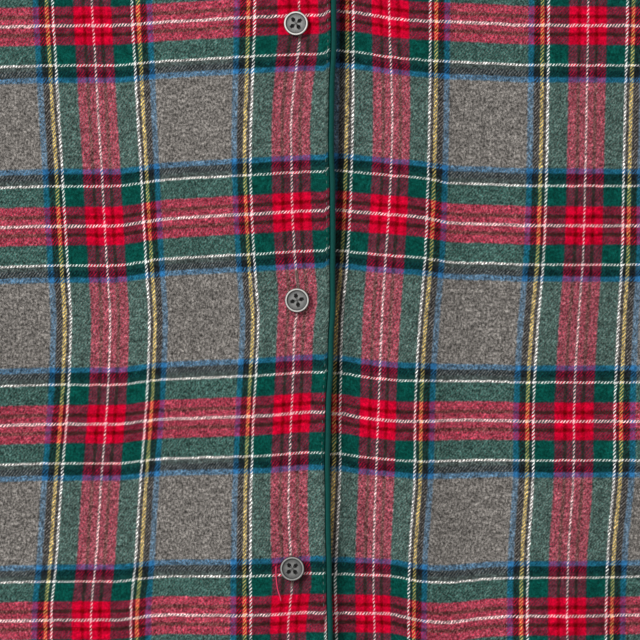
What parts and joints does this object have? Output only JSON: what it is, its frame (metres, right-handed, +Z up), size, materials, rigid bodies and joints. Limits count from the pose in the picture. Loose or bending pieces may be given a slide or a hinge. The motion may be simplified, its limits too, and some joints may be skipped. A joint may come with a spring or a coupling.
{
  "type": "flannel nightshirt",
  "caption": "Long-sleeved tartan flannel nightshirt with a turn-down collar and a piped button front, buttoned and laid out flat, face up.",
  "frame": {"origin": "on the surface it lies on, at the centre of its outline: on the button line, midway between the collar's top and the hem", "axes": "+Z up off the surface, +Y from the hem to the collar, +X towards the wearer's left sleeve"},
  "size_m": [1.4408, 0.9916, 0.0136],
  "materials": {
    "tartan_flannel": "brushed flannel in a red, green, white, yellow, blue and black tartan on heather grey",
    "green_piping": "dark green woven cotton over a cord",
    "smoke_plastic": "smoke grey moulded plastic, satin"
  },
  "bodies": {
    "root": {"back": "tartan_flannel", "front_right": "tartan_flannel", "front_left": "tartan_flannel", "sleeve_right": "tartan_flannel", "sleeve_left": "tartan_flannel", "collar": "tartan_flannel", "placket_piping": "green_piping", "button_1": "smoke_plastic", "button_2": "smoke_plastic", "button_3": "smoke_plastic", "button_4": "smoke_plastic", "button_5": "smoke_plastic", "button_6": "smoke_plastic"}
  },
  "joints": []
}
